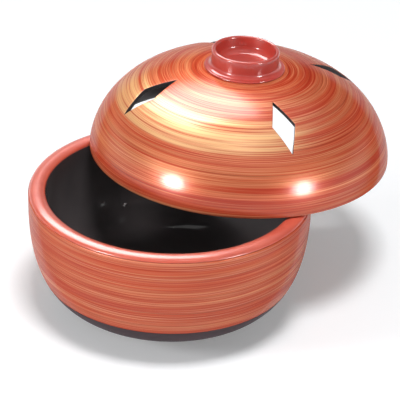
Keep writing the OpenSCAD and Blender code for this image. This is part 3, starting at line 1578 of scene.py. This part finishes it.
        mesh = PieceMesh()
        under = [mesh.ring(r, h) for r, h in under_rows]
        for face in (outer, inner):
            face.rings = [mesh.ring(r, h) for r, h in face.rows]
        seat = [mesh.ring(r, h) for r, h in seat_rows]
        for face in (outer, inner):
            self.join_face(mesh, face)
        for first, second in pairwise([outer.rings[-1], *seat, inner.rings[-1]]):
            mesh.band(first, second, DomeFinish.RED)
        lining_bands = len(thinning) + len(inner_corner)
        chain = [inner.rings[0], *under, outer.rings[0]]
        for number, (first, second) in enumerate(pairwise(chain)):
            finish = DomeFinish.LINING if number < lining_bands else DomeFinish.RED
            mesh.band(first, second, finish)
        self.line_windows(mesh, outer, inner)
        return mesh.piece("lid_dome_lacquered", [outer_finish, lining], place)

    def knob_outline(self) -> list[Point]:
        """Draws the ring-shaped knob with its spigot and its cup.

        Returns:
            Its outline as radius and height.
        """
        spigot = self.bore - self.bond_gap
        spigot_end = self.edge + self.inside.depth_at(self.bore)
        radius = self.knob_diameter / 2
        lip = self.knob_wall / 2
        lip_h = self.seat + self.knob_height - lip
        edge = self.knob_edge / 2
        edge_r = self.knob_foot - edge
        foot_top = self.seat + self.knob_edge
        fillet = self.knob_fillet
        draft = math.radians(self.cup_draft)
        cup = radius - self.knob_wall
        floor = self.seat + self.knob_floor
        wall_foot = floor + self.cup_round * (1 - math.sin(draft))
        wall_r = cup - (lip_h - wall_foot) * math.tan(draft)
        centre = (wall_r - self.cup_round * math.cos(draft), floor + self.cup_round)
        flare = evenly([(edge_r, foot_top), (radius + fillet, foot_top)], STEP / 2)
        side = evenly([(radius, foot_top + fillet), (radius, lip_h)], STEP)
        cup_wall = evenly([(cup, lip_h), (wall_r, wall_foot)], STEP / 2)
        outline = [(0.0, spigot_end), (spigot, spigot_end), (spigot, self.seat)]
        outline += [(edge_r, self.seat)]
        outline += arc(
            (edge_r, foot_top - edge), edge, self.knob_edge_from, 90, self.knob_edge_steps
        )
        outline += flare[1:-1]
        outline += arc(
            (radius + fillet, foot_top + fillet), fillet, 270, 180, self.knob_fillet_steps
        )
        outline += side[1:-1]
        outline += arc((radius - lip, lip_h), lip, 0, 180, self.knob_round_steps)
        outline += cup_wall[1:-1]
        outline += arc(centre, self.cup_round, -self.cup_draft, -90, self.knob_round_steps)
        outline += evenly([(centre[0], floor), (0.0, floor)], HIDDEN_STEP)[1:]
        return outline

    def build(self, shelf: GroupShelf, bowl: Bowl) -> None:
        """Builds and dresses the dome and the knob where they lie.

        Args:
            shelf: The shared node groups.
            bowl: The bowl that the lid lies on.
        """
        place = self.rest_place(bowl)
        outer_finish = BRUSHED_LID.material(shelf, place)
        dome = self.dome(outer_finish, LID_BLACK.material(shelf, place), place)
        dress(dome, Body.LID, "lid_dome")
        knob_finish = KNOB_RED.material(shelf, place)
        knob = turned_piece("lid_knob_lacquered", self.knob_outline(), knob_finish, place)
        dress(knob, Body.LID, "lid_knob")


@dataclass(frozen=True)
class SoftLight:
    """A soft lamp, placed by the compass: 0 is behind the bowl and 90 to its right.

    The face is the brightness of its face, where 1 is white. A lamp that lights reaches the
    matt part of a surface, and a lamp that gleams shows in its gloss.
    """

    name: str
    compass: float
    elevation: float
    width: float
    height: float
    face: float
    distance: float = 1.5
    round: bool = False
    lights: bool = True
    gleams: bool = True

    @property
    def power(self) -> float:
        """Power that makes the lamp's face as bright as asked."""
        area = self.width * self.height * (math.pi / 4 if self.round else 1)
        return self.face * math.pi * area

    def build(self, aim: Vector) -> None:
        """Adds the lamp.

        Args:
            aim: Point that it shines on.
        """
        data = bpy.data.lights.new(self.name, "AREA")
        data.shape = "ELLIPSE" if self.round else "RECTANGLE"
        data.size = self.width
        data.size_y = self.height
        data.energy = self.power
        lamp = bpy.data.objects.new(self.name, data)
        turn, lift = math.radians(self.compass), math.radians(self.elevation)
        away = Vector((
            math.sin(turn) * math.cos(lift), math.cos(turn) * math.cos(lift), math.sin(lift)
        ))
        lamp.location = aim + away * self.distance
        lamp.rotation_euler = away.to_track_quat("Z", "Y").to_euler()
        lamp.visible_diffuse = self.lights
        lamp.visible_glossy = self.gleams
        bpy.context.scene.collection.objects.link(lamp)


@dataclass
class Studio:
    """The plain pale studio round the object.

    The backdrop is white up to its top, and a dim ceiling and a pale overhead lie over it.
    Camera and gloss see them, and the object is lit by the lamps and an even fill.
    """

    aim: Vector = field(default_factory=lambda: Vector((14.94 * MM, 0, 60.87 * MM)))
    camera_distance: float = 1.5
    camera_elevation: float = 29.332
    camera_roll: float = -1.956
    lens: float = 271.35
    sensor: float = 36
    floor_width: float = 12.0
    floor_colour: Colour = (0.87, 0.89, 0.91, 1.0)
    floor_glow: float = 0.22
    world_fill: float = 0.22
    backdrop_top: float = 3
    ceiling_from: float = 20
    ceiling: float = 0.15
    overhead_from: float = 35
    overhead_full: float = 55
    overhead: float = 0.65
    lamps: tuple[SoftLight, ...] = (
        SoftLight(
            name="top box", compass=168, elevation=74, width=0.8, height=0.8, face=34,
            distance=3.2, gleams=False,
        ),
        SoftLight(
            name="back box", compass=-24, elevation=55, width=1.0, height=1.05, face=10,
            lights=False,
        ),
        SoftLight(
            name="left lamp", compass=-112, elevation=20, width=0.40, height=0.40, face=22,
            round=True, gleams=False,
        ),
        SoftLight(
            name="right lamp", compass=129, elevation=14, width=0.40, height=0.40, face=5,
            round=True, gleams=False,
        ),
        SoftLight(
            name="left card", compass=-130, elevation=14, width=0.42, height=0.42, face=46,
            round=True, lights=False,
        ),
        SoftLight(
            name="right card", compass=128, elevation=13, width=0.40, height=0.40, face=36,
            round=True, lights=False,
        ),
    )

    def background(self, wiring: Wiring) -> Socket:
        """Tells the rays that see the pale background from the ones that light the object.

        Args:
            wiring: Wiring of the floor or of the world.

        Returns:
            1 for a ray that sees the background, and 0 otherwise.
        """
        path = wiring.node("ShaderNodeLightPath")
        seen: object = 0.0
        for ray in Ray:
            seen = wiring.maths("ADD", seen, path.outputs[ray.value])
        return wiring.maths("MINIMUM", seen, 1.0)

    def floor(self) -> None:
        """Lays the plain pale floor, which glows for the rays that see the background."""
        half = self.floor_width / 2
        corners = [(-half, -half, 0), (half, -half, 0), (half, half, 0), (-half, half, 0)]
        mesh = bpy.data.meshes.new("studio_floor")
        mesh.from_pydata(corners, [], [(0, 1, 2, 3)])
        floor = bpy.data.objects.new("studio_floor", mesh)
        bpy.context.scene.collection.objects.link(floor)
        material, wiring, shader = new_material("pale floor")
        shader.inputs["Base Color"].default_value = self.floor_colour
        shader.inputs["Roughness"].default_value = 1.0
        shader.inputs["Specular IOR Level"].default_value = 0.0
        shader.inputs["Emission Color"].default_value = WHITE
        glow = wiring.maths("MULTIPLY", self.background(wiring), self.floor_glow)
        wiring.feed(shader.inputs["Emission Strength"], glow)
        mesh.materials.append(material)

    def world(self) -> None:
        """Fills the studio with pale light, under a white backdrop and a dimmer ceiling."""
        world = bpy.data.worlds.new("pale studio")
        world.use_nodes = True
        world.node_tree.nodes.clear()
        wiring = Wiring(world.node_tree)
        light = wiring.node("ShaderNodeBackground")
        output = wiring.node("ShaderNodeOutputWorld")
        coordinates = wiring.node("ShaderNodeTexCoord")
        split = wiring.node("ShaderNodeSeparateXYZ")
        wiring.feed(split.inputs[0], coordinates.outputs["Generated"])
        backdrop_top, ceiling_from, overhead_from, overhead_full = (
            math.sin(math.radians(elevation))
            for elevation in (
                self.backdrop_top, self.ceiling_from, self.overhead_from, self.overhead_full,
            )
        )
        up = split.outputs["Z"]
        backdrop = wiring.ramp(up, backdrop_top, ceiling_from, 1.0, self.ceiling)
        overhead = wiring.ramp(up, overhead_from, overhead_full, 0.0, self.overhead)
        seen = wiring.maths("ADD", backdrop, overhead)
        more = wiring.maths("SUBTRACT", seen, self.world_fill)
        strength = wiring.maths("MULTIPLY_ADD", self.background(wiring), more, self.world_fill)
        light.inputs["Color"].default_value = WHITE
        wiring.feed(light.inputs["Strength"], strength)
        wiring.feed(output.inputs["Surface"], light.outputs["Background"])
        bpy.context.scene.world = world

    def camera(self) -> None:
        """Sets the camera where the picture was taken from."""
        lift, roll = math.radians(self.camera_elevation), math.radians(self.camera_roll)
        away = Vector((0, -math.cos(lift), math.sin(lift)))
        level_up = Vector((0, math.sin(lift), math.cos(lift)))
        right = Vector((1, 0, 0)) * math.cos(roll) - level_up * math.sin(roll)
        up = Vector((1, 0, 0)) * math.sin(roll) + level_up * math.cos(roll)
        data = bpy.data.cameras.new("camera")
        data.sensor_fit = "HORIZONTAL"
        data.sensor_width = self.sensor
        data.lens = self.lens
        camera = bpy.data.objects.new("camera", data)
        place = Matrix((right, up, away)).transposed().to_4x4()
        place.translation = self.aim + away * self.camera_distance
        camera.matrix_world = place
        bpy.context.scene.collection.objects.link(camera)
        bpy.context.scene.camera = camera

    def build(self) -> None:
        """Builds the floor, the world, the lamps and the camera."""
        self.floor()
        self.world()
        for lamp in self.lamps:
            lamp.build(self.aim)
        self.camera()
        bpy.context.scene.view_settings.view_transform = "Standard"
        log.info("studio: %d lamps", len(self.lamps))


def main() -> None:
    """Builds the object and its studio."""
    logging.basicConfig(level=logging.INFO, format="%(name)s: %(message)s")
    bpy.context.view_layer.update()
    shelf = GroupShelf(BrushStreaks().build(), LacquerSkin().build())
    bowl = Bowl()
    bowl.build(shelf)
    Lid().build(shelf, bowl)
    Studio().build()


if __name__ == "__main__":
    main()
